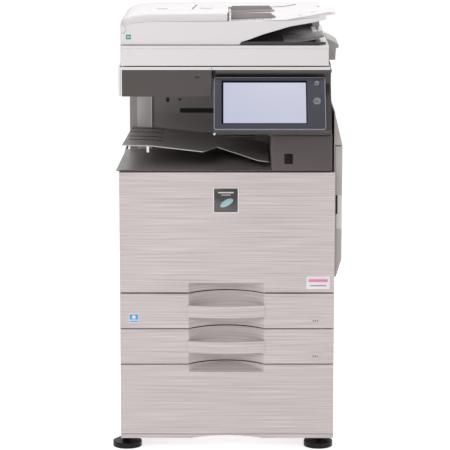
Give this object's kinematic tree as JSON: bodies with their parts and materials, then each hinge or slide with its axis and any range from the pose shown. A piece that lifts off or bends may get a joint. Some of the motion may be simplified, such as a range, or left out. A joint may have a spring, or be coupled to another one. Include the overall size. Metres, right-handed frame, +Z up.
{
  "type": "photocopier",
  "caption": "Floor-standing office copier with paper drawers, front cover, tilting touch panel, output trays, scanner and lifting document feeder.",
  "frame": {"origin": "on the floor, at the middle of the outer box", "axes": "+X to the right as seen from the front, +Y to the back, +Z up"},
  "size_m": [0.6234, 0.682, 1.1963],
  "materials": {
    "body_light": "warm light grey moulded panels with fine level grain lines",
    "feeder_light": "satin warm white",
    "dark_gloss": "dark brown-grey, glossy",
    "panel_bezel": "slate grey, glossy",
    "screen": "lit pale screen under glass",
    "platen": "clear float glass",
    "keys": "dark keys",
    "feet": "black",
    "steel": "zinc-coated sheet",
    "caster_steel": "zinc-coated pressed steel",
    "caster_tyre": "black tread",
    "bin_dark": "dark grey",
    "lift_steel": "bare sheet",
    "guide_blue": "muted blue adjusters",
    "latch": "light grey",
    "body_tray": "warm light grey",
    "drum_coat": "coated drum, blue-green",
    "roller": "black rollers on a steel shaft",
    "carriage": "black carriages",
    "guide_grey": "grey-beige"
  },
  "bodies": {
    "machine": {"stand_frame": "steel", "stand_front_panel": "body_light", "base_trim": "body_light", "main_frame": "steel", "left_cover": "body_light", "rear_cover": "body_light", "right_cover": "body_light", "power_inlet": "bin_dark", "upper_frame": "feeder_light", "left_upper_cover": "dark_gloss", "panel_housing": "dark_gloss", "lower_right_panel": "dark_gloss", "output_tray": "dark_gloss", "upper_tray": "dark_gloss", "toner_cartridge": "bin_dark", "drum_unit": "bin_dark", "scanner_housing": "feeder_light", "scanner_top": "feeder_light", "platen_glass": "platen", "exit_stopper": "dark_gloss"},
    "foot_left": {"foot_left": "feet"},
    "foot_right": {"foot_right": "feet"},
    "caster_front_left_fork": {"caster_front_left_fork": "caster_steel"},
    "caster_front_left_wheel": {"caster_front_left_wheel": "caster_tyre"},
    "caster_front_right_fork": {"caster_front_right_fork": "caster_steel"},
    "caster_front_right_wheel": {"caster_front_right_wheel": "caster_tyre"},
    "caster_rear_left_fork": {"caster_rear_left_fork": "caster_steel"},
    "caster_rear_left_wheel": {"caster_rear_left_wheel": "caster_tyre"},
    "caster_rear_right_fork": {"caster_rear_right_fork": "caster_steel"},
    "caster_rear_right_wheel": {"caster_rear_right_wheel": "caster_tyre"},
    "front_cover": {"front_cover": "body_light"},
    "drawer_1": {"drawer_1_front": "body_light", "drawer_1_bin": "bin_dark"},
    "drawer_1_lift_plate": {"drawer_1_lift_plate": "lift_steel"},
    "drawer_1_guide_front": {"drawer_1_guide_front": "guide_blue"},
    "drawer_1_guide_rear": {"drawer_1_guide_rear": "guide_blue"},
    "drawer_1_end_guide": {"drawer_1_end_guide": "guide_blue"},
    "drawer_2": {"drawer_2_front": "body_light", "drawer_2_bin": "bin_dark"},
    "drawer_2_lift_plate": {"drawer_2_lift_plate": "lift_steel"},
    "drawer_2_guide_front": {"drawer_2_guide_front": "guide_blue"},
    "drawer_2_guide_rear": {"drawer_2_guide_rear": "guide_blue"},
    "drawer_2_end_guide": {"drawer_2_end_guide": "guide_blue"},
    "right_door": {"right_door": "body_light"},
    "door_latch": {"door_latch": "latch"},
    "bypass_tray": {"bypass_tray": "body_tray"},
    "exit_roller": {"exit_roller": "roller"},
    "drum": {"drum": "drum_coat"},
    "operation_panel": {"panel_body": "panel_bezel", "panel_screen": "screen"},
    "power_key": {"power_key": "keys"},
    "home_key": {"home_key": "keys"},
    "mirror_carriage": {"mirror_carriage": "carriage"},
    "lamp_carriage": {"lamp_carriage": "carriage"},
    "document_feeder": {"adf_base": "feeder_light"},
    "feed_cover": {"feed_cover": "feeder_light"},
    "document_tray": {"document_tray": "feeder_light"},
    "document_guide_front": {"document_guide_front": "guide_grey"},
    "document_guide_rear": {"document_guide_rear": "guide_grey"},
    "feed_roller": {"feed_roller": "roller"}
  },
  "joints": [
    {"name": "foot_left_turn", "type": "hinge", "parent": "machine", "child": "foot_left", "pos_m": [-0.27225, -0.2285, 0], "axis": [0, 0, 1], "continuous": true},
    {"name": "foot_right_turn", "type": "hinge", "parent": "machine", "child": "foot_right", "pos_m": [0.25225, -0.2285, 0], "axis": [0, 0, 1], "continuous": true},
    {"name": "caster_front_left_swivel", "type": "hinge", "parent": "machine", "child": "caster_front_left_fork", "pos_m": [-0.19325, -0.0985, 0], "axis": [0, 0, 1], "continuous": true},
    {"name": "caster_front_left_roll", "type": "hinge", "parent": "caster_front_left_fork", "child": "caster_front_left_wheel", "pos_m": [-0.19325, -0.0845, 0.025], "axis": [1, 0, 0], "continuous": true},
    {"name": "caster_front_right_swivel", "type": "hinge", "parent": "machine", "child": "caster_front_right_fork", "pos_m": [0.19675, -0.0985, 0], "axis": [0, 0, 1], "continuous": true},
    {"name": "caster_front_right_roll", "type": "hinge", "parent": "caster_front_right_fork", "child": "caster_front_right_wheel", "pos_m": [0.19675, -0.0845, 0.025], "axis": [1, 0, 0], "continuous": true},
    {"name": "caster_rear_left_swivel", "type": "hinge", "parent": "machine", "child": "caster_rear_left_fork", "pos_m": [-0.19325, 0.2615, 0], "axis": [0, 0, 1], "continuous": true},
    {"name": "caster_rear_left_roll", "type": "hinge", "parent": "caster_rear_left_fork", "child": "caster_rear_left_wheel", "pos_m": [-0.19325, 0.2755, 0.025], "axis": [1, 0, 0], "continuous": true},
    {"name": "caster_rear_right_swivel", "type": "hinge", "parent": "machine", "child": "caster_rear_right_fork", "pos_m": [0.19675, 0.2615, 0], "axis": [0, 0, 1], "continuous": true},
    {"name": "caster_rear_right_roll", "type": "hinge", "parent": "caster_rear_right_fork", "child": "caster_rear_right_wheel", "pos_m": [0.19675, 0.2755, 0.025], "axis": [1, 0, 0], "continuous": true},
    {"name": "front_cover_hinge", "type": "hinge", "parent": "machine", "child": "front_cover", "pos_m": [0.00175, -0.2685, 0.4435], "axis": [1, 0, 0], "range_deg": [0, 88]},
    {"name": "drawer_1_slide", "type": "slide", "parent": "machine", "child": "drawer_1", "axis": [0, -1, 0], "range_m": [0, 0.36]},
    {"name": "drawer_1_lift", "type": "hinge", "parent": "drawer_1", "child": "drawer_1_lift_plate", "pos_m": [-0.00825, -0.017, 0.3535], "axis": [0, -1, 0], "range_deg": [0, 9]},
    {"name": "drawer_1_guide_front_slide", "type": "slide", "parent": "drawer_1", "child": "drawer_1_guide_front", "axis": [0, -1, 0], "range_m": [0, 0.05]},
    {"name": "drawer_1_guide_rear_slide", "type": "slide", "parent": "drawer_1", "child": "drawer_1_guide_rear", "axis": [0, 1, 0], "range_m": [0, 0.05]},
    {"name": "drawer_1_end_guide_slide", "type": "slide", "parent": "drawer_1", "child": "drawer_1_end_guide", "axis": [1, 0, 0], "range_m": [0, 0.06]},
    {"name": "drawer_2_slide", "type": "slide", "parent": "machine", "child": "drawer_2", "axis": [0, -1, 0], "range_m": [0, 0.36]},
    {"name": "drawer_2_lift", "type": "hinge", "parent": "drawer_2", "child": "drawer_2_lift_plate", "pos_m": [-0.00825, -0.017, 0.255], "axis": [0, -1, 0], "range_deg": [0, 9]},
    {"name": "drawer_2_guide_front_slide", "type": "slide", "parent": "drawer_2", "child": "drawer_2_guide_front", "axis": [0, -1, 0], "range_m": [0, 0.05]},
    {"name": "drawer_2_guide_rear_slide", "type": "slide", "parent": "drawer_2", "child": "drawer_2_guide_rear", "axis": [0, 1, 0], "range_m": [0, 0.05]},
    {"name": "drawer_2_end_guide_slide", "type": "slide", "parent": "drawer_2", "child": "drawer_2_end_guide", "axis": [1, 0, 0], "range_m": [0, 0.06]},
    {"name": "right_door_hinge", "type": "hinge", "parent": "machine", "child": "right_door", "pos_m": [0.29975, 0.2875, 0.5385], "axis": [0, 0, 1], "range_deg": [0, 70]},
    {"name": "door_latch_pull", "type": "hinge", "parent": "right_door", "child": "door_latch", "pos_m": [0.30675, -0.2125, 0.6405], "axis": [0, 0, 1], "range_deg": [0, 25], "stiffness_Nm_per_rad": 0.4},
    {"name": "bypass_tray_hinge", "type": "hinge", "parent": "right_door", "child": "bypass_tray", "pos_m": [0.30675, 0.075, 0.5405], "axis": [0, 1, 0], "range_deg": [0, 70]},
    {"name": "exit_roller_turn", "type": "hinge", "parent": "machine", "child": "exit_roller", "pos_m": [0.12225, -0.0225, 0.85443], "axis": [0, 1, 0], "continuous": true},
    {"name": "drum_turn", "type": "hinge", "parent": "machine", "child": "drum", "pos_m": [0.06175, -0.025, 0.5885], "axis": [0, 1, 0], "continuous": true},
    {"name": "panel_tilt", "type": "hinge", "parent": "machine", "child": "operation_panel", "pos_m": [0.11525, -0.23386, 0.99506], "axis": [-1, 0, 0], "range_deg": [0, 25]},
    {"name": "power_key_press", "type": "slide", "parent": "operation_panel", "child": "power_key", "axis": [0, 0.809, -0.5878], "range_m": [0, 0.0015], "stiffness_N_per_m": 300, "springref_m": -0.0005},
    {"name": "home_key_press", "type": "slide", "parent": "operation_panel", "child": "home_key", "axis": [0, 0.809, -0.5878], "range_m": [0, 0.0015], "stiffness_N_per_m": 300, "springref_m": -0.0005},
    {"name": "lamp_carriage_slide", "type": "slide", "parent": "machine", "child": "lamp_carriage", "axis": [1, 0, 0], "range_m": [0, 0.42]},
    {"name": "mirror_carriage_slide", "type": "slide", "parent": "machine", "child": "mirror_carriage", "axis": [1, 0, 0], "range_m": [0, 0.21]},
    {"name": "document_feeder_hinge", "type": "hinge", "parent": "machine", "child": "document_feeder", "pos_m": [0, 0.3065, 1.114], "axis": [-1, 0, 0], "range_deg": [0, 60]},
    {"name": "feed_cover_hinge", "type": "hinge", "parent": "document_feeder", "child": "feed_cover", "pos_m": [-0.27625, 0.019, 1.15], "axis": [0, -1, 0], "range_deg": [0, 60]},
    {"name": "document_tray_hinge", "type": "hinge", "parent": "document_feeder", "child": "document_tray", "pos_m": [0.01075, 0.019, 1.166], "axis": [0, -1, 0], "range_deg": [0, 20]},
    {"name": "document_guide_front_slide", "type": "slide", "parent": "document_tray", "child": "document_guide_front", "axis": [0, -1, 0], "range_m": [-0.04, 0.045]},
    {"name": "document_guide_rear_slide", "type": "slide", "parent": "document_tray", "child": "document_guide_rear", "axis": [0, 1, 0], "range_m": [-0.04, 0.045]},
    {"name": "feed_roller_turn", "type": "hinge", "parent": "document_feeder", "child": "feed_roller", "pos_m": [-0.04925, -0.0585, 1.144], "axis": [0, 1, 0], "continuous": true}
  ],
  "couplings": [
    {"joint": "drawer_1_guide_rear_slide", "follows": "drawer_1_guide_front_slide", "ratio": 1},
    {"joint": "drawer_2_guide_rear_slide", "follows": "drawer_2_guide_front_slide", "ratio": 1},
    {"joint": "mirror_carriage_slide", "follows": "lamp_carriage_slide", "ratio": 0.5},
    {"joint": "document_guide_rear_slide", "follows": "document_guide_front_slide", "ratio": 1}
  ]
}
